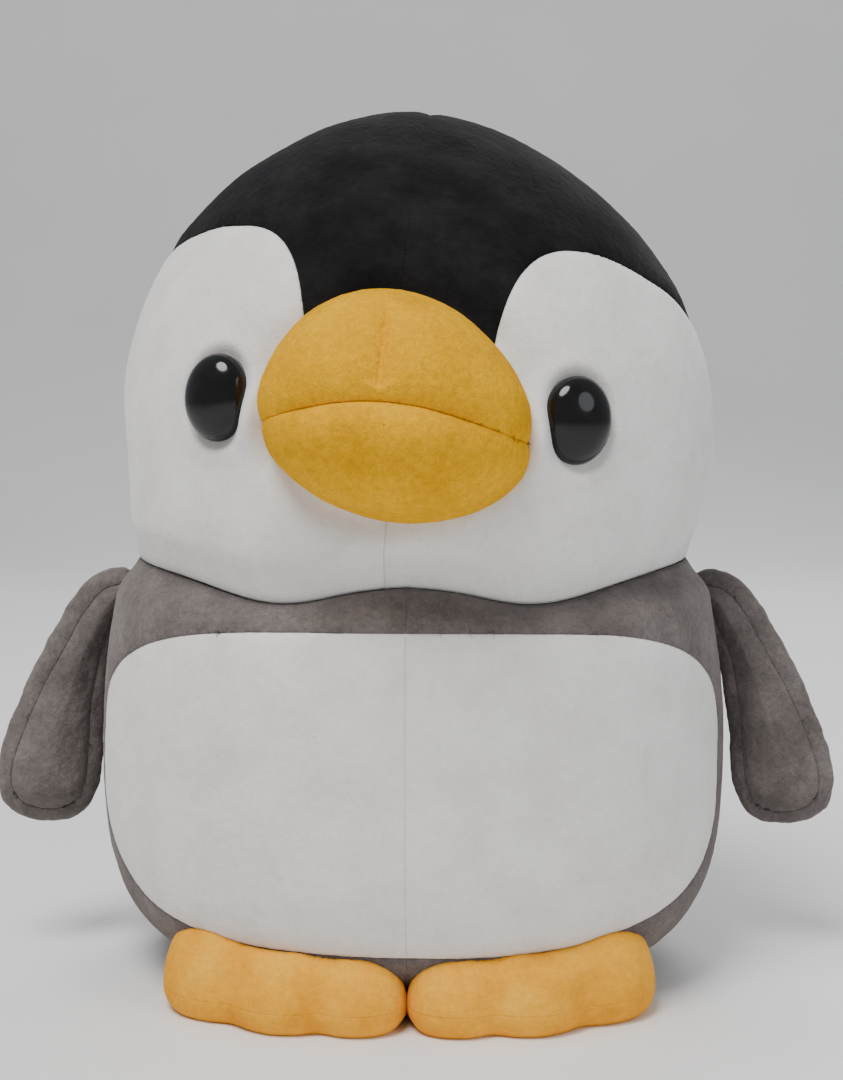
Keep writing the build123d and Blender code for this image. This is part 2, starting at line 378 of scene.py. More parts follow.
def weave_material(name, colour, scale):
    """Plain satin weave for the label and the sewing thread."""
    material, nodes, links, shader, coordinate = new_material(name)
    wave = nodes.new("ShaderNodeTexWave")
    set_inputs(wave, {"Scale": scale, "Distortion": 0.6})
    links.new(coordinate, wave.inputs["Vector"])
    tone = add_ramp(nodes, links, wave.outputs["Fac"],
                    [(0.2, tuple(c * 0.82 for c in colour)), (0.8, colour)])
    links.new(tone, shader.inputs["Base Color"])
    set_inputs(shader, {"Roughness": 0.55, "Sheen Weight": 0.3})
    relief = add_bump(nodes, links, wave.outputs["Fac"], 0.4, 0.0002)
    links.new(relief.outputs["Normal"], shader.inputs["Normal"])
    return material


BLACK = pile_material("black_pile", (0.006, 0.006, 0.007), (0.010, 0.010, 0.011), (0.018, 0.017, 0.018),
                      0.10, (0.6, 0.6, 0.62), 1.0, 0.5)
WHITE = pile_material("white_pile", (0.74, 0.725, 0.70), (0.80, 0.785, 0.765), (0.84, 0.83, 0.81),
                      0.25, (1.0, 0.99, 0.97), 0.55, 0.16)
GREY = pile_material("grey_pile", (0.125, 0.108, 0.103), (0.160, 0.139, 0.133), (0.205, 0.181, 0.174),
                     0.25, (0.85, 0.78, 0.76), 1.3, 0.75)
GOLD = pile_material("golden_pile", (0.70, 0.335, 0.001), (0.80, 0.395, 0.002), (0.87, 0.445, 0.004),
                     0.03, (1.0, 0.75, 0.2), 1.3, 0.50)
ORANGE = pile_material("orange_pile", (0.82, 0.34, 0.018), (0.92, 0.42, 0.028), (0.97, 0.50, 0.05),
                       0.05, (1.0, 0.8, 0.4), 0.9, 0.32)
FILLING = pile_material("fibre_filling", (0.70, 0.70, 0.68), (0.80, 0.80, 0.78), (0.88, 0.88, 0.86),
                        0.3, (1.0, 1.0, 1.0), 1.6, 0.5)
EYE = gloss_material("eye_plastic", (0.0025, 0.0025, 0.0027), 0.10, 0.2)
WASHER = gloss_material("washer_plastic", (0.70, 0.70, 0.68), 0.35, 0.1)
SATIN = weave_material("label_satin", (0.82, 0.82, 0.80), 900.0)
THREAD = weave_material("grey_thread", (0.22, 0.205, 0.195), 1400.0)


# ---- Head and body form -----------------------------------
HEAD_UP = CROWN_Z - HEAD_CENTRE[2]
HEAD_DOWN = 155.0
CROWN_POWER = 1.8                  # below 2, the head narrows sooner towards the crown
BODY_WIDEST_Z = 85.0
BODY_UP = 138.0
BODY_DOWN = 87.0


def head_half_width(z):
    up = np.clip((z - HEAD_CENTRE[2]) / HEAD_UP, 0.0, 1.0)
    down = np.clip((HEAD_CENTRE[2] - z) / HEAD_DOWN, 0.0, 1.0)
    upper = np.clip(1.0 - up ** CROWN_POWER, 0.0, 1.0) ** (1.0 / CROWN_POWER)
    return HEAD_HALF * upper * np.sqrt(np.clip(1.0 - down ** 2, 0.0, 1.0))


def body_half_width(z):
    up = np.clip((z - BODY_WIDEST_Z) / BODY_UP, 0.0, 1.0)
    down = np.clip((BODY_WIDEST_Z - z) / BODY_DOWN, 0.0, 1.0)
    upper = (1.0 - up ** 2.2) ** (1 / 2.2)
    lower = (1.0 - down ** 3.65) ** (1 / 3.65)
    return BODY_HALF * upper * lower


def section(theta, half_width, front, back):
    """Radius of a rounded section with different depths in front and behind."""
    depth = np.where(np.sin(theta) < 0.0, front, back)
    across = np.abs(np.cos(theta)) / np.maximum(half_width, 1e-6)
    along = np.abs(np.sin(theta)) / np.maximum(depth, 1e-6)
    return (across ** SECTION + along ** SECTION) ** (-1.0 / SECTION)


def head_front(half_width, z):
    """Depth of the head in front of its middle: the cheeks stand out low down."""
    return half_width * FRONT_DEPTH + CHEEK_OUT * bump(z - CHEEK_Z, CHEEK_SPREAD)


def head_radius(theta, z):
    half = head_half_width(z)
    return section(theta, half, head_front(half, z), half * BACK_DEPTH)


def body_radius(theta, z):
    half = body_half_width(z)
    return section(theta, half, half * FRONT_DEPTH, half * BACK_DEPTH)


def neck_height(theta):
    """Height of the neck seam: it dips under both cheeks and rises between them."""
    x = 97.0 * np.cos(theta)
    front = smooth(0.05, 0.55, -np.sin(theta))
    return NECK_Z + 2.0 - front * (8.5 * bump(np.abs(x) - 46.0, 30.0) + 2.0 * bump(x, 20.0))


def sway(z):
    """The head leans a little: its middle line moves sideways with height."""
    return smooth(NECK_Z, NECK_Z + 47.0, z) * (1.7 - 0.049 * (z - 205.0))


def even_steps(radius_at, low, high, count):
    """Heights from low to high that divide a profile into equal lengths."""
    z = np.linspace(low, high, 2000)
    r = radius_at(z)
    length = np.concatenate([[0.0], np.cumsum(np.hypot(np.diff(z), np.diff(r)))])
    return np.interp(np.linspace(0.0, length[-1], count), length, z)


def seam_radius(theta):
    z = neck_height(theta)
    return (head_radius(theta, z) + body_radius(theta, z)) / 2.0


THETA = np.arange(COLUMNS) / COLUMNS * 2.0 * math.pi + math.pi / COLUMNS


def head_grid():
    steps = even_steps(head_half_width, NECK_Z, CROWN_Z, HEAD_ROWS)
    share = ((CROWN_Z - steps) / (CROWN_Z - NECK_Z))[:, None]
    z = CROWN_Z - (CROWN_Z - neck_height(THETA))[None, :] * share
    theta = np.broadcast_to(THETA, z.shape)
    near = smooth(14.0, 0.0, z - neck_height(THETA)[None, :])
    r = head_radius(theta, z) * (1.0 - near) + seam_radius(THETA)[None, :] * near
    r = np.where(share < 1e-9, 0.05, r)
    return np.stack([r * np.cos(theta) + sway(z), r * np.sin(theta), z], -1)


def body_grid():
    disc_rows = BODY_ROWS // 4
    steps = even_steps(body_half_width, 0.0, NECK_Z, BODY_ROWS - disc_rows)
    share = (steps / NECK_Z)[:, None]
    z = neck_height(THETA)[None, :] * share
    theta = np.broadcast_to(THETA, z.shape)
    near = smooth(12.0, 0.0, neck_height(THETA)[None, :] - z)
    r = body_radius(theta, z) * (1.0 - near) + seam_radius(THETA)[None, :] * near
    wall = np.stack([r * np.cos(theta), r * np.sin(theta), z], -1)
    part = np.linspace(0.004, 1.0, disc_rows, endpoint=False)[:, None, None]
    disc = wall[:1] * part
    return np.concatenate([disc, wall])


def pile_relief(points, amount, seed):
    """Clumps of pile: fine unevenness of the outer surface, with a few broad soft dents."""
    broad = 0.9 * noise(points, 38.0, seed) + 0.35 * noise(points, 15.0, seed + 1)
    fine = 0.6 * noise(points, 2.3, seed + 2) + 0.4 * noise(points, 1.1, seed + 3)
    return broad + amount * fine


# ---- Head -------------------------------------------------
LOBE_X = 57.0                      # middle of a lobe, from the middle of the face
LOBE_Z = 206.0
LOBE_INNER = 27.0
LOBE_UP = 47.5
LOBE_TILT = 0.02                   # the left lobe is a little lower than the right one
LEFT_DROP = 6.0                    # and falls away sooner at the side
LEFT_DROP_WIDTH = 35.0
LOBE_STEEPNESS = 24.0              # makes the lobes' field run in millimetres near their edge
FACE_BLEND = 4.0
INNER_POWER = 2.7                  # the lobes are squarer towards the middle than at the sides
FACE_LOW_MIDDLE_Z = 221.0
# How far back the white reaches at each height, round the side of the head.
FACE_BACK = [(205.0, 12.0), (215.0, 10.3), (222.0, 8.0), (228.0, 4.5), (234.0, 0.0),
             (240.0, -8.0), (246.0, -20.0), (250.0, -31.0), (253.0, -45.0), (254.5, -60.0)]


def face_field(points):
    """Positive on the white face: two lobes over the eyes, open to the beak between them."""
    p = to_face(points)
    across = np.abs(p[:, 0]) - LOBE_X
    drop = np.where(p[:, 0] > 0.0, LEFT_DROP, 0.0) * smooth(0.0, LEFT_DROP_WIDTH, across)
    height = p[:, 2] + LOBE_TILT * p[:, 0] + drop
    rise = np.clip(height - LOBE_Z, 0.0, None) / LOBE_UP
    inner = 1.0 - np.abs(across / LOBE_INNER) ** INNER_POWER - rise ** INNER_POWER
    lobe = np.where(across < 0.0, inner, 1.0 - rise ** 2) * LOBE_STEEPNESS
    middle = FACE_LOW_MIDDLE_Z - p[:, 2] - 0.25 * (np.abs(p[:, 0]) - 30.0).clip(0.0)
    levels, limits = zip(*FACE_BACK)
    front = np.interp(height, levels, limits) - p[:, 1]
    both = np.maximum(lobe, middle)
    h = np.clip(0.5 + 0.5 * (front - both) / FACE_BLEND, 0.0, 1.0)
    return front * (1.0 - h) + both * h - FACE_BLEND * h * (1.0 - h)


def head_middle_field(points):
    return to_face(points)[:, 0] - NUDGE


EYE_X = 57.0
EYE_Z = (EYE_LOW[2] + EYE_TOP[2]) / 2.0
EYE_TURN = math.radians(27.0)
EYE_HALF = np.array([11.8, 7.8, 14.0])


def face_surface(x, z):
    """The head's front surface in the face's frame."""
    half = head_half_width(np.array([z]))[0]
    return -head_front(half, z) * (1.0 - abs(x / half) ** SECTION) ** (1.0 / SECTION)


def eye_place(side):
    return np.array([side * EYE_X, face_surface(EYE_X, EYE_Z), EYE_Z])


def eye_frame(points, side):
    """Face-frame points in an eye's own frame: across (outwards), out of the face, up."""
    turned = (points - eye_place(side)) @ turn_matrix("z", side * EYE_TURN)
    return turned[:, 0] * side, -turned[:, 1], turned[:, 2]


def socket_push(points):
    """The face is drawn in round each eye and bulges over its edge towards the beak."""
    p = to_face(points)
    push = np.zeros(len(points))
    for side in (-1, 1):
        across, out, up = eye_frame(p, side)
        near = (np.abs(out) < 30.0) & (p[:, 1] < 0.0)
        ring = np.hypot(across / EYE_HALF[0], up / EYE_HALF[2])
        dent = -2.2 * smooth(1.28, 0.92, ring) * (0.25 + 0.75 * smooth(-15.0, -3.0, across))
        lip = 6.2 * np.exp(-((across + 14.5) / 5.2) ** 2 - ((up + 5.0) / 11.0) ** 2)
        brow = 0.5 * np.exp(-((ring - 1.32) / 0.22) ** 2)
        push += np.where(near, dent + lip + brow, 0.0)
    return push


def beak_pinch(points):
    """The face is drawn in round the edge of the beak."""
    p = to_face(points)
    x_half = (BEAK_TOP[0] - BEAK_LOW[0]) / 2.0
    z_half = (BEAK_TOP[2] - BEAK_LOW[2]) / 2.0
    middle = (BEAK_TOP[2] + BEAK_LOW[2]) / 2.0
    ring = np.hypot(p[:, 0] / x_half, (p[:, 2] - middle) / z_half)
    return np.where(p[:, 1] < 0.0, -2.2 * bump(ring - 0.98, 0.14), 0.0)


def build_head():
    grid = head_grid()
    points = grid.reshape(-1, 3)
    faces = grid_faces(grid.shape[0], COLUMNS, True)
    neck_ring = np.arange(COLUMNS)
    points, faces, face_seam = split(points, faces, face_field)
    points, faces, mid_seam = split(points, faces, head_middle_field)
    white = sides(points, faces, face_field, face_seam)
    left = sides(points, faces, head_middle_field, mid_seam)

    theta = np.arctan2(points[:, 1], points[:, 0])
    front = smooth(0.05, 0.6, -np.sin(theta))
    neck = pillow(reach(points, points[neck_ring]), 3.0, 17.0) * (1.0 + 1.2 * front)
    edge = pillow(reach(points, points[face_seam]), 1.3, 7.0)
    middle = pillow(reach(points, points[mid_seam]), 0.8, 6.0)
    push = neck + np.minimum(edge, middle) + socket_push(points) + beak_pinch(points)
    normals = normals_of(points, faces)
    normals[points[:, 2] > CROWN_Z - 0.25] = (0.0, 0.0, 1.0)
    shaped = points + normals * push[:, None]
    shaped = shaped + normals * pile_relief(shaped, 0.16, 11)[:, None]
    for label, side in SIDES:
        half = left == (side > 0)
        for node, part, material, slot in ((f"cap_{label}", half & ~white, BLACK, "black_pile"),
                                           (f"face_{label}", half & white, WHITE, "white_pile")):
            piece(node, shaped, faces[part], material, "torso", (node,))


# ---- Body -------------------------------------------------
BELLY_HALF = 107.0
BELLY_BACK_Y = -4.0
SIDE_SEAM_Y = 4.0                  # where the front of the body meets its back


def belly_field(points):
    middle = (BELLY_TOP_Z + BELLY_LOW_Z) / 2.0
    half = (BELLY_TOP_Z - BELLY_LOW_Z) / 2.0
    across = np.abs(points[:, 0]) / BELLY_HALF
    up = np.abs(points[:, 2] - middle) / half
    field = (1.0 - (across ** SQUARE + up ** SQUARE) ** (1.0 / SQUARE)) * half
    return np.minimum(field, BELLY_BACK_Y - points[:, 1])


def middle_field(points):
    return points[:, 0] - NUDGE


def side_field(points):
    return SIDE_SEAM_Y + NUDGE - points[:, 1]


def build_body():
    grid = body_grid()
    points = grid.reshape(-1, 3)
    faces = grid_faces(grid.shape[0], COLUMNS, True)
    rim = len(points) - COLUMNS
    neck_ring = np.arange(rim, len(points))
    disc = BODY_ROWS // 4
    base_ring = np.arange(disc * COLUMNS, (disc + 1) * COLUMNS)
    is_base_point = np.arange(len(points)) <= base_ring[-1]
    base_points = points[base_ring]

    points, faces, belly_seam = split(points, faces, belly_field)
    points, faces, mid_seam = split(points, faces, middle_field)
    points, faces, side_seam = split(points, faces, side_field)
    is_base_point = np.concatenate([is_base_point, points[len(is_base_point):, 2] < 1e-6])
    white = sides(points, faces, belly_field, belly_seam)
    left = sides(points, faces, middle_field, mid_seam)
    front = sides(points, faces, side_field, side_seam)
    base_face = is_base_point[faces].all(1)

    theta = np.arctan2(points[:, 1], points[:, 0])
    ahead = smooth(0.05, 0.6, -np.sin(theta))
    neck = pillow(reach(points, points[neck_ring]), 3.0, 11.0) * (1.0 + 1.2 * ahead)
    edge = pillow(reach(points, points[belly_seam]), 1.0, 8.0)
    on_wall = mid_seam[points[mid_seam, 2] > 1.0]
    middle = pillow(reach(points, points[on_wall]), 0.7, 7.0)
    on_side = side_seam[points[side_seam, 2] > 1.0]
    side = pillow(reach(points, points[on_side]), 0.9, 5.0)
    under = pillow(reach(points, base_points), 1.2, 5.0)
    push = neck + np.minimum(np.minimum(edge, middle), np.minimum(side, under))
    normals = normals_of(points, faces)
    shaped = points + normals * push[:, None]
    relief = pile_relief(shaped, 0.16, 23) * smooth(0.0, 12.0, points[:, 2])
    shaped = shaped + normals * relief[:, None]
    shaped[:, 2] = np.maximum(shaped[:, 2], 0.0)
    shaped[is_base_point, 2] = 0.0

    piece("base_panel", shaped, faces[base_face], GREY, "torso", ("base_panel",))
    wall = ~base_face
    for label, sign in SIDES:
        half = wall & (left == (sign > 0))
        for name, part, material, slot in (("belly", half & white, WHITE, "white_pile"),
                                           ("body_front", half & ~white & front, GREY, "grey_pile"),
                                           ("body_back", half & ~white & ~front, GREY, "grey_pile")):
            node = f"{name}_{label}"
            piece(node, shaped, faces[part], material, "torso", (node,))


# ---- Beak -------------------------------------------------
BEAK_WIDEST_Z = 194.0
DART_X = 2.0                       # the dart is a little to the toy's right of the middle
BEAK_SKEW = 4.5                    # the top of the beak leans to the toy's right, its chin to the left


def mouth_height(x):
    return 201.5 - 8.5 * (x / 38.0) ** 2


def mouth_field(points):
    return points[:, 2] - mouth_height(points[:, 0])


def build_beak():
    rows, columns = detail((130, 300), (70, 160))
    middle = np.array([0.6, -84.0, BEAK_WIDEST_Z])
    half = np.array([(BEAK_TOP[0] - BEAK_LOW[0]) / 2.0 + 1.4, middle[1] - BEAK_LOW[1] - 1.0, 1.0])
    away = np.linspace(0.004, math.radians(112.0), rows)[:, None]
    round_ = (np.arange(columns) / columns * 2.0 * math.pi)[None, :]
    across = np.sin(away) * np.cos(round_)
    up = np.sin(away) * np.sin(round_)
    out = np.cos(away) * np.ones_like(round_)
    narrowing = 1.0 - 0.08 * smooth(0.0, 1.0, up)
    height = np.where(up > 0.0, BEAK_TOP[2] - BEAK_WIDEST_Z, BEAK_WIDEST_Z - BEAK_LOW[2])
    sideways = across * half[0] * narrowing - BEAK_SKEW * up
    grid = np.stack([sideways, -out * half[1], up * height], -1) + middle
    points = grid.reshape(-1, 3)
    faces = grid_faces(rows, columns, True)[:, ::-1]
    points, faces, mouth_seam = split(points, faces, mouth_field)
    upper = sides(points, faces, mouth_field, mouth_seam)
    mouth = pillow(reach(points, points[mouth_seam]), 4.6, 13.0)
    mouth *= 1.0 - 0.6 * smooth(24.0, 40.0, np.abs(points[:, 0]))
    dart_line = points[(np.abs(points[:, 0] + DART_X) < 0.8) & (mouth_field(points) > 0.0)
                       & (points[:, 1] < middle[1])]
    dart = pillow(reach(points, dart_line), 4.2, 12.0) * smooth(-2.0, 8.0, mouth_field(points))
    dart *= smooth(BEAK_TOP[2] - 1.0, BEAK_TOP[2] - 12.0, points[:, 2])
    wrinkle = 0.45 * noise(points * np.array([1.0, 1.0, 0.35]), 6.0, 5) * bump(mouth_field(points), 7.0)
    normals = normals_of(points, faces)
    push = np.minimum(mouth, dart) + wrinkle + pile_relief(points, 0.18, 37)
    shaped = from_face(points + normals * push[:, None])
    piece("beak_upper", shaped, faces[upper], GOLD, "torso", ("beak_upper",))
    piece("beak_lower", shaped, faces[~upper], GOLD, "torso", ("beak_lower",))
    small = from_face((grid.reshape(-1, 3) - middle) * 0.80 + middle + np.array([0, 1.5, 0]))
    piece("beak_stuffing", small, grid_faces(rows, columns, True)[:, ::-1], FILLING, "torso",
          ("beak_stuffing",), thick=0)


# ---- Eyes -------------------------------------------------
def build_eyes():
    rows, columns = 60, 120
    away = np.linspace(0.01, math.pi / 2.0, rows)[:, None]
    round_ = (np.arange(columns) / columns * 2.0 * math.pi)[None, :]
    across = np.sin(away) ** 0.92 * np.cos(round_) * EYE_HALF[0]
    up = np.sin(away) ** 0.92 * np.sin(round_) * EYE_HALF[2]
    out = np.cos(away) * EYE_HALF[1] * np.ones_like(round_)
    rim = np.stack([across[-1] * 0.97, out[-1] - 2.4, up[-1] * 0.97], -1)[None]
    closing = np.stack([across[-1] * 0.01, out[-1] - 2.4, up[-1] * 0.01], -1)[None]
    dome = np.concatenate([np.stack([across, out, up], -1), rim, closing])
    faces = grid_faces(dome.shape[0], columns, True)
    flat = dome.reshape(-1, 3)
    for label, side in SIDES:
        local = np.stack([flat[:, 0], -(flat[:, 1] - 1.0), flat[:, 2]], -1)
        placed = from_face(local @ turn_matrix("z", side * EYE_TURN).T + eye_place(side))
        piece(f"eye_{label}", placed, faces[:, ::-1], EYE, "torso", (f"eye_{label}",),
              thick=0)


# ---- Soft limbs -------------------------------------------
def closed_curve(knots, count):
    """A smooth closed outline through the knots, with evenly spaced points."""
    knots = np.array(knots, float)
    before, after = np.roll(knots, 1, axis=0), np.roll(knots, -1, axis=0)
    beyond = np.roll(knots, -2, axis=0)
    t = np.linspace(0.0, 1.0, 40, endpoint=False)[:, None, None]
    curve = 0.5 * (2 * knots + (after - before) * t + (2 * before - 5 * knots + 4 * after - beyond) * t ** 2
                   + (3 * knots - before - 3 * after + beyond) * t ** 3)
    curve = curve.transpose(1, 0, 2).reshape(-1, 2)
    step = np.linalg.norm(np.roll(curve, -1, axis=0) - curve, axis=1)
    length = np.concatenate([[0.0], np.cumsum(step)])
    looped = np.concatenate([curve, curve[:1]])
    even = np.linspace(0.0, length[-1], count, endpoint=False)
    return np.stack([np.interp(even, length, looped[:, k]) for k in (0, 1)], 1)


def pad_grid(outline, centre, rows):
    """Plan points from the centre out to the outline, closer together near the edge."""
    share = np.sin(np.linspace(0.004, 1.0, rows) * math.pi / 2.0)[:, None, None]
    return centre + (outline[None] - centre) * share


def edge_distance(plan, outline):
    """Distance of each plan point from the sewn outline."""
    flat = plan.reshape(-1, 2)
    tree = KDTree(len(outline))
    for k, spot in enumerate(outline):
        tree.insert((spot[0], spot[1], 0.0), k)
    tree.balance()
    nearest = np.array([tree.find((spot[0], spot[1], 0.0))[1] for spot in flat])
    best = np.full(len(flat), np.inf)
    for step in (-1, 0):
        start = outline[(nearest + step) % len(outline)]
        along = outline[(nearest + step + 1) % len(outline)] - start
        t = np.clip(((flat - start) * along).sum(1) / (along * along).sum(1), 0.0, 1.0)
        best = np.minimum(best, np.linalg.norm(flat - start - along * t[:, None], axis=1))
    return best.reshape(plan.shape[:-1])


def puff(distance, width):
    """Height of a stuffed pad, from 0 at its seam to 1 at a distance of width."""
    t = np.clip(distance / width, 0.0, 1.0)
    return np.sqrt(1.0 - (1.0 - t) ** 2)


# Outline of the left wing seen from the front, from its shoulder round the outer edge.
WING_OUTLINE = [(99.0, 135.5), (107.0, 138.5), (116.5, 135.5), (124.0, 127.0), (131.5, 113.5),
                (140.0, 98.0), (147.0, 82.0), (151.2, 68.5), (150.6, 57.5), (144.0, 49.8),
                (132.0, 46.8), (121.0, 50.5), (116.0, 60.0), (114.2, 74.0), (113.0, 90.0),
                (110.2, 106.0), (104.0, 121.0), (98.0, 130.0)]
WING_CENTRE = np.array([127.0, 84.0])
WING_LEAN = 0.30                   # how far the leaf comes forwards for each millimetre outwards
WING_HALF_THICK = 9.5
WING_PUFF = 21.0
WING_SEAM_INSET = 4.5              # the seam runs this far inside the outer edge, on the front


def wing_shell(inset, rows, columns):
    """A whole wing in its own plan: across, thickness (negative in front), up."""
    outline = closed_curve(WING_OUTLINE, 600)
    top, bottom = outline[:, 1].argmax(), outline[:, 1].argmin()
    outer = np.roll(outline, -top, axis=0)[: (bottom - top) % 600 + 1][::-1]
    inner = np.roll(outline, -bottom, axis=0)[: (top - bottom) % 600 + 1]
    share = (1.0 - np.cos(np.linspace(0.01, 0.99, rows) * math.pi)) / 2.0
    z = outline[bottom, 1] + (outline[top, 1] - outline[bottom, 1]) * share
    low, high = np.interp(z, inner[:, 1], inner[:, 0]), np.interp(z, outer[:, 1], outer[:, 0])
    across = np.sin(np.linspace(-1.0, 1.0, columns) * math.pi / 2.0)[None, :]
    x = (low + high)[:, None] / 2.0 + (high - low)[:, None] / 2.0 * across
    plan = np.stack([x, np.broadcast_to(z[:, None], x.shape)], -1)
    distance = edge_distance(plan, outline)
    thick = (WING_HALF_THICK - inset) * puff(distance, WING_PUFF)
    if inset:
        plan = WING_CENTRE + (plan - WING_CENTRE) * (1.0 - inset / 16.0)
    front = np.stack([plan[..., 0], -thick, plan[..., 1]], -1).reshape(-1, 3)
    back = front * np.array([1.0, -1.0, 1.0])
    half = grid_faces(rows, columns, False)
    number = np.arange(len(back)).reshape(rows, columns) + len(front)
    own = np.arange(len(front)).reshape(rows, columns)
    number[:, 0], number[:, -1] = own[:, 0], own[:, -1]
    faces = [half, number.ravel()[half[:, ::-1]]]
    for row, order in ((0, 1), (rows - 1, -1)):
        a, b, c, d = own[row, :-1], own[row, 1:], number[row, :-1], number[row, 1:]
        caps = np.concatenate([np.stack([a, c, b], 1), np.stack([b, c, d], 1)])
        faces.append(caps[:, ::order])
    return np.concatenate([front, back]), np.concatenate(faces), outline


def wing_place(points, side):
    """From a wing's own plan to its place beside the body."""
    slope = math.hypot(WING_LEAN, 1.0)
    x = points[:, 0] + points[:, 1] * WING_LEAN / slope
    y = WING_HINGE[1] + 3.0 - (points[:, 0] - 105.0) * WING_LEAN + points[:, 1] / slope
    return np.stack([side * x, y, points[:, 2]], 1)


def build_wing(label, side):
    rows, columns = detail((210, 130), (100, 60))
    points, faces, outline = wing_shell(0.0, rows, columns)

    def front_field(p):
        distance = edge_distance(p[:, [0, 2]], outline)
        return np.where(p[:, 1] <= 0.0, distance, -distance) - WING_SEAM_INSET

    points, faces, seam = split(points, faces, front_field)
    in_front = sides(points, faces, front_field, seam)
    near = reach(points, points[seam])
    gather = 0.7 * noise(points, 6.0, 51) * bump(near - 5.0, 5.0)
    push = pillow(near, 1.8, 8.0) + gather + pile_relief(points, 0.25, 53 + side)
    shaped = wing_place(points + normals_of(points, faces) * push[:, None], side)
    faces = facing(faces, side)
    for name, part in (("wing_inner", faces[in_front]), ("wing_outer", faces[~in_front])):
        node = f"{name}_{label}"
        panel = piece(node, shaped, part, GREY, None, (node,))
        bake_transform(panel)
    core, core_faces, _ = wing_shell(3.0, rows // 2, columns // 2)
    node = f"wing_stuffing_{label}"
    filling = piece(node, wing_place(core, side), facing(core_faces, side), FILLING, None, (node,),
                    thick=0)
    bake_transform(filling)


def pad_filling(points_of, inset, rows, columns):
    """The filling of a sewn pad: both of its halves, moved in by inset."""
    upper, _ = points_of(True, inset, rows, columns)
    lower, _ = points_of(False, inset, rows, columns)
    half = grid_faces(rows, columns, True)
    return np.concatenate([upper, lower]), np.concatenate([half, half[:, ::-1] + len(upper)])


# Outline of the left foot from above, from the inner back corner round its three toes.
FOOT_OUTLINE = [(10.0, -62.0), (3.8, -68.0), (1.2, -78.0), (3.6, -88.0), (10.5, -93.0), (20.0, -93.5),
                (28.0, -90.5), (35.0, -92.0), (43.5, -91.5), (51.0, -87.5), (57.5, -82.0), (66.0, -79.5),
                (74.5, -74.0), (79.5, -65.0), (79.0, -54.0), (70.0, -46.0), (57.0, -47.0), (42.0, -55.0),
                (25.0, -60.0)]
FOOT_CENTRE = np.array([41.0, -71.0])
FOOT_SEAM_Z = 8.0
FOOT_RISE = 16.0                   # height of the top above its seam
FOOT_OUTER_RISE = 5.0              # the outer toe stands higher by this much
FOOT_PUFF = 14.0
TOE_GAPS = [((28.0, -91.0), (31.0, -74.0)), ((57.5, -83.0), (54.0, -68.0))]
TOE_GAP_DEPTH = 1.2


def toe_gap(points):
    """The quilted lines that divide the toes, as a draw-in depth."""
    depth = np.zeros(len(points))
    for start, end in TOE_GAPS:
        start, end = np.array(start), np.array(end)
        along = end - start
        t = np.clip((points[:, :2] - start) @ along / (along @ along), 0.0, 1.0)
        gap = np.linalg.norm(points[:, :2] - start - t[:, None] * along, axis=1)
        depth = np.maximum(depth, TOE_GAP_DEPTH * (1.0 - t) * bump(gap, 6.5))
    return depth


def body_underside(x, y):
    """Height of the body's rounded underside over a point of the floor."""
    needed = (np.abs(x) ** SECTION + np.abs(y / FRONT_DEPTH) ** SECTION) ** (1.0 / SECTION)
    z = np.linspace(0.0, 60.0, 400)
    return np.interp(needed, body_half_width(z), z, left=0.0, right=60.0)


def foot_points(top, inset, rows, columns):
    """The top or the sole of the left foot as a grid, moved in by inset."""
    outline = closed_curve(FOOT_OUTLINE, columns)
    plan = pad_grid(outline, FOOT_CENTRE, rows)
    distance = edge_distance(plan, outline)
    if inset:
        plan = FOOT_CENTRE + (plan - FOOT_CENTRE) * (1.0 - inset / 18.0)
    under = body_underside(plan[..., 0], plan[..., 1])
    seam = np.minimum(FOOT_SEAM_Z, 0.5 * under + 0.4)
    if top:
        rise = FOOT_RISE + FOOT_OUTER_RISE * smooth(42.0, 68.0, plan[..., 0]) - inset
        z = np.minimum(seam + rise * puff(distance, FOOT_PUFF), np.maximum(under - 0.4, seam))
    else:
        z = np.minimum(inset + seam * (1.0 - puff(distance, 7.0)) * (1.0 - inset / FOOT_SEAM_Z), seam)
    points = np.concatenate([plan, z[..., None]], -1).reshape(-1, 3)
    return points, distance.reshape(-1)


def build_foot(label, side):
    rows, columns = detail((80, 420), (40, 220))
    faces = grid_faces(rows, columns, True)
    for name, top in (("foot_top", True), ("foot_sole", False)):
        points, distance = foot_points(top, 0.0, rows, columns)
        order = faces if top else faces[:, ::-1]
        normals = normals_of(points, order)
        away = smooth(0.0, 3.0, distance)
        if top:
            gather = 0.6 * noise(points, 7.0, 61) * bump(distance - 5.0, 5.0)
            push = (pile_relief(points, 0.2, 63 + side) * 0.8 + gather - toe_gap(points)) * away
            shaped = points + normals * push[:, None]
            shaped[:, 2] = np.maximum(shaped[:, 2], np.minimum(points[:, 2], FOOT_SEAM_Z * 0.5))
        else:
            shaped = points
        shaped[:, 0] *= side
        node = f"{name}_{label}"
        panel = piece(node, shaped, facing(order, side), ORANGE, None, (node,))
        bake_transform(panel)
    core, core_faces = pad_filling(foot_points, 3.0, rows // 2, columns // 2)
    core[:, 0] *= side
    node = f"foot_stuffing_{label}"
    filling = piece(node, core, facing(core_faces, side), FILLING, None, (node,),
                    thick=0)
    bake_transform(filling)


# Outline of the tail from above: its root is sewn into the back seam.
TAIL_OUTLINE = [(-19.0, -9.0), (0.0, -10.0), (19.0, -9.0), (21.0, 2.0), (19.5, 14.0),
                (13.0, 26.0), (0.0, 33.0), (-13.0, 26.0), (-19.5, 14.0), (-21.0, 2.0)]
TAIL_CENTRE = np.array([0.0, 10.0])
TAIL_HALF_THICK = 6.5
TAIL_RISE = 0.18


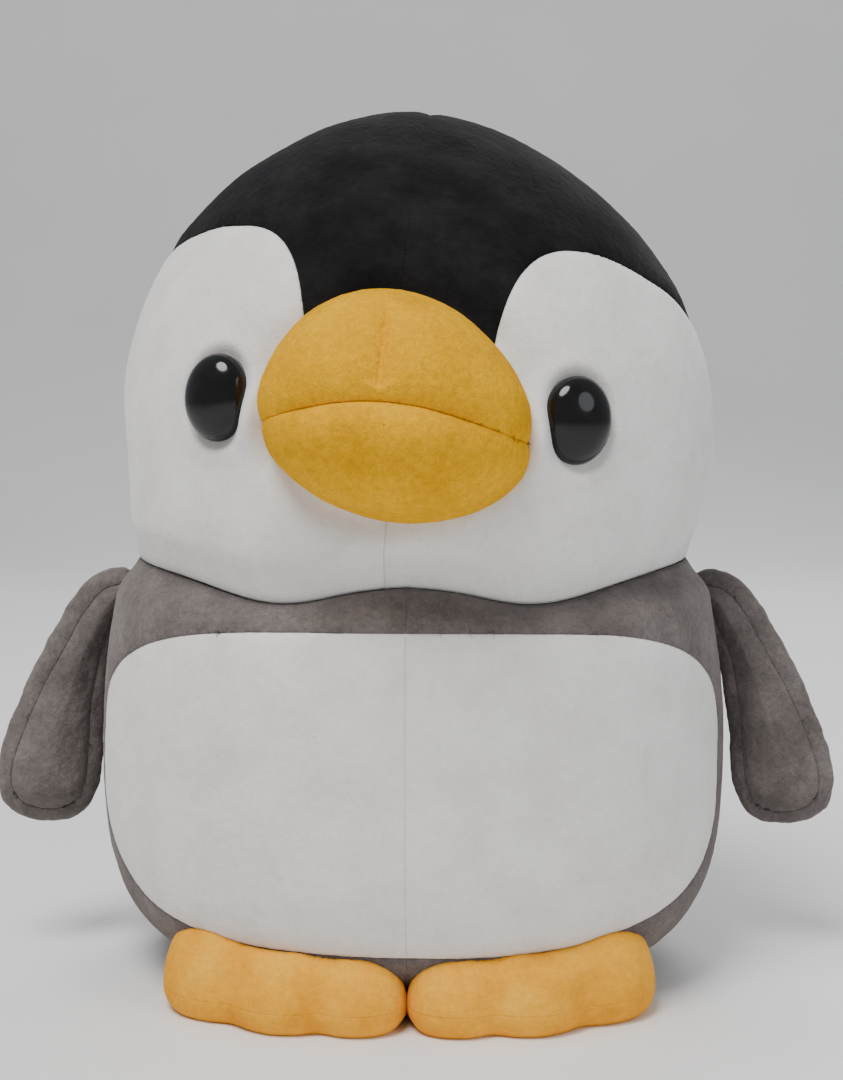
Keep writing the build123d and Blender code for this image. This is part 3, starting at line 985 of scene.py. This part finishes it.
def tail_points(top, inset, rows, columns):
    """The top or the bottom of the tail as a grid, moved in by inset."""
    outline = closed_curve(TAIL_OUTLINE, columns)
    plan = pad_grid(outline, TAIL_CENTRE, rows)
    distance = edge_distance(plan, outline)
    if inset:
        plan = TAIL_CENTRE + (plan - TAIL_CENTRE) * (1.0 - inset / 14.0)
    thick = (TAIL_HALF_THICK - inset) * puff(distance, 12.0) * (1.0 if top else -1.0)
    z = thick + plan[..., 1] * TAIL_RISE
    points = np.concatenate([plan, z[..., None]], -1).reshape(-1, 3) + TAIL_HINGE
    return points, distance.reshape(-1)


def build_tail():
    rows, columns = detail((44, 240), (24, 120))
    faces = grid_faces(rows, columns, True)
    for node, top in (("tail_top", True), ("tail_bottom", False)):
        points, distance = tail_points(top, 0.0, rows, columns)
        order = faces if top else faces[:, ::-1]
        push = pile_relief(points, 0.2, 71) * 0.7 * smooth(0.0, 3.0, distance)
        shaped = points + normals_of(points, order) * push[:, None]
        panel = piece(node, shaped, order, GREY, None, (node,))
        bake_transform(panel)
    core, core_faces = pad_filling(tail_points, 2.6, rows // 2, columns // 2)
    filling = piece("tail_stuffing", core, core_faces, FILLING, None, ("tail_stuffing",),
                    thick=0)
    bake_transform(filling)


# ---- Filling, washers, label and closing stitches ---------
FILLING_INSET = 9.0


def build_core_filling():
    """The filling of the head and body, a little inside the fabric all round."""
    count = detail(90, 50)
    z = np.linspace(FILLING_INSET * 0.5, CROWN_Z - FILLING_INSET, count)[:, None]
    theta = (np.arange(160) / 160 * 2.0 * math.pi)[None, :]
    theta, z = np.broadcast_arrays(theta, z)
    share = smooth(NECK_Z - 26.0, NECK_Z + 26.0, z)
    radius = body_radius(theta, z) * (1.0 - share) + head_radius(theta, z) * share
    radius = radius - FILLING_INSET - 6.0 * bump(z - NECK_Z, 22.0)
    radius = np.maximum(radius, 0.5)
    points = np.stack([radius * np.cos(theta), radius * np.sin(theta), z], -1).reshape(-1, 3)
    faces = grid_faces(count, 160, True)
    base_middle = np.array([[0.0, 0.0, z.min()]])
    ring = np.arange(160)
    fan = np.stack([np.full(160, len(points)), np.roll(ring, -1), ring], 1)
    points = np.concatenate([points, base_middle])
    faces = np.concatenate([faces, fan])
    normals = normals_of(points, faces)
    points = points + normals * (1.2 * noise(points, 12.0, 81) - 1.0)[:, None]
    piece("core_stuffing", points, faces, FILLING, "torso", ("core_stuffing",), thick=0)


def build_washers():
    """Flat rings behind the face that hold the eyes."""
    columns = 72
    around = (np.arange(columns) / columns * 2.0 * math.pi)[None, :]
    radii = np.array([3.0, 3.0, 8.6, 9.0, 8.6, 3.0])[:, None]
    depth = np.array([1.4, 0.0, 0.0, 0.7, 1.4, 1.4])[:, None] - 5.6
    ring = np.stack([radii * np.cos(around), -depth * np.ones_like(around), radii * np.sin(around)], -1)
    faces = grid_faces(len(radii), columns, True)
    for label, side in SIDES:
        placed = from_face(ring.reshape(-1, 3) @ turn_matrix("z", side * EYE_TURN).T + eye_place(side))
        node = f"eye_washer_{label}"
        piece(node, placed, faces, WASHER, "torso", (node,), thick=0)


LABEL_WIDTH = 28.0
LABEL_HEIGHT = 22.0
LABEL_THICK = 0.35


def back_y(x, z):
    """The back of the body at a point seen from behind."""
    half = body_half_width(np.asarray(z, float))
    across = np.clip(np.abs(x) / half, 0.0, 1.0)
    return half * BACK_DEPTH * (1.0 - across ** SECTION) ** (1.0 / SECTION)


def build_label():
    """The blank care label, sewn into the back seam along its short edge."""
    low = corner("care_label", 0)
    high = corner("care_label", 1)
    columns, rows = 60, 46
    across, up = np.meshgrid(np.linspace(0.0, 1.0, columns), np.linspace(0.0, 1.0, rows))
    x = low[0] + LABEL_WIDTH * across
    z = (low[2] + high[2]) / 2.0 + (up - 0.5) * LABEL_HEIGHT
    lift = 1.0 + 2.4 * across ** 1.5 + 0.5 * np.sin(across * 5.0 + up * 2.0) * across
    y = back_y(x, z) + lift
    points = np.stack([x, y, z], -1).reshape(-1, 3)
    label = piece("care_label", points, grid_faces(rows, columns, False)[:, ::-1], SATIN, "torso",
                  ("care_label",), thick=LABEL_THICK)


STITCH_LOW_Z = 92.0
STITCH_HIGH_Z = 126.0
STITCH_COUNT = 9


def build_stitches():
    """Hand-sewn closing stitches across the back seam, over the filling hole."""
    columns, around = 14, 8
    points, faces = [], []
    turn = np.arange(around) / around * 2.0 * math.pi
    for k in range(STITCH_COUNT):
        z0 = STITCH_LOW_Z + (STITCH_HIGH_Z - STITCH_LOW_Z) * k / (STITCH_COUNT - 1)
        share = np.linspace(-1.0, 1.0, columns)
        x = 2.6 * share
        z = z0 + 0.9 * share
        arch = 0.9 * np.sqrt(1.0 - share ** 2 * 0.98) - 0.7
        y = back_y(0.0, z0) + arch
        centre = np.stack([x, y, z], -1)[:, None, :]
        ring = np.stack([0.0 * turn, np.cos(turn), np.sin(turn)], -1)[None] * 0.35
        first = sum(len(p) for p in points)
        points.append((centre + ring).reshape(-1, 3))
        faces.append(grid_faces(columns, around, True)[:, ::-1] + first)
    piece("closing_stitches", np.concatenate(points), np.concatenate(faces), THREAD, "torso", (),
          thick=0)


# ---- Floor, light and camera ------------------------------
CAMERA_DISTANCE = 650.0
CAMERA_TURN = math.radians(1.6)
CAMERA_HEIGHT = 206.9
CAMERA_TARGET = (2.8, 0.0, 150.0)
CAMERA_LENS = 60.7


def aim(obj, target):
    direction = Vector(target) - obj.location
    obj.rotation_mode = "QUATERNION"
    obj.rotation_quaternion = direction.to_track_quat("-Z", "Y")


def build_camera():
    data = bpy.data.cameras.new("camera")
    data.lens = CAMERA_LENS
    camera = add_object("camera", data)
    camera.location = (CAMERA_DISTANCE * math.sin(CAMERA_TURN) * MM,
                       -CAMERA_DISTANCE * math.cos(CAMERA_TURN) * MM, CAMERA_HEIGHT * MM)
    aim(camera, [v * MM for v in CAMERA_TARGET])
    bpy.context.scene.camera = camera


def build_light(name, place, size, power, colour=(1.0, 1.0, 1.0)):
    data = bpy.data.lights.new(name, "AREA")
    data.shape = "DISK"
    data.size = size
    data.energy = power
    data.color = colour
    light = add_object(name, data)
    light.location = place
    aim(light, (0.0, 0.0, 0.14))


def build_stage():
    """A pale floor that curves up behind the toy, with a soft sky and three lights."""
    turn = np.linspace(0.0, math.pi / 2.0, 24)
    depth = np.concatenate([[-3.0], 1.4 + 0.9 * np.sin(turn), [2.3]])
    height = np.concatenate([[0.0], 0.9 * (1.0 - np.cos(turn)), [4.0]])
    points = [(x, y, z) for y, z in zip(depth, height) for x in (-4.0, 4.0)]
    quads = [(2 * k, 2 * k + 1, 2 * k + 3, 2 * k + 2) for k in range(len(depth) - 1)]
    mesh = bpy.data.meshes.new("floor")
    mesh.from_pydata(points, [], quads)
    mesh.shade_smooth()
    floor = add_object("floor", mesh)
    material, nodes, links, shader, coordinate = new_material("pale_floor")
    mottle = add_noise(nodes, links, coordinate, 6.0, 3.0, 0.5)
    tone = add_ramp(nodes, links, mottle, [(0.3, (0.86, 0.86, 0.865)), (0.7, (0.89, 0.89, 0.89))])
    links.new(tone, shader.inputs["Base Color"])
    set_inputs(shader, {"Roughness": 0.6})
    mesh.materials.append(material)
    world = bpy.data.worlds.new("studio")
    world.use_nodes = True
    set_inputs(world.node_tree.nodes["Background"], {"Color": (0.80, 0.82, 0.85, 1.0), "Strength": 0.47})
    bpy.context.scene.world = world
    build_light("key_light", (-0.4, -0.7, 1.6), 0.8, 27.0, (1.0, 0.98, 0.95))
    build_light("fill_light", (1.1, -0.9, 0.8), 0.9, 4.5, (0.95, 0.97, 1.0))
    build_light("back_light", (0.3, 1.2, 1.1), 0.8, 8.0)


build_camera()
build_stage()
build_head()
build_body()
build_beak()
build_eyes()
for label, side in SIDES:
    build_wing(label, side)
    build_foot(label, side)
build_tail()
build_core_filling()
build_washers()
build_label()
build_stitches()
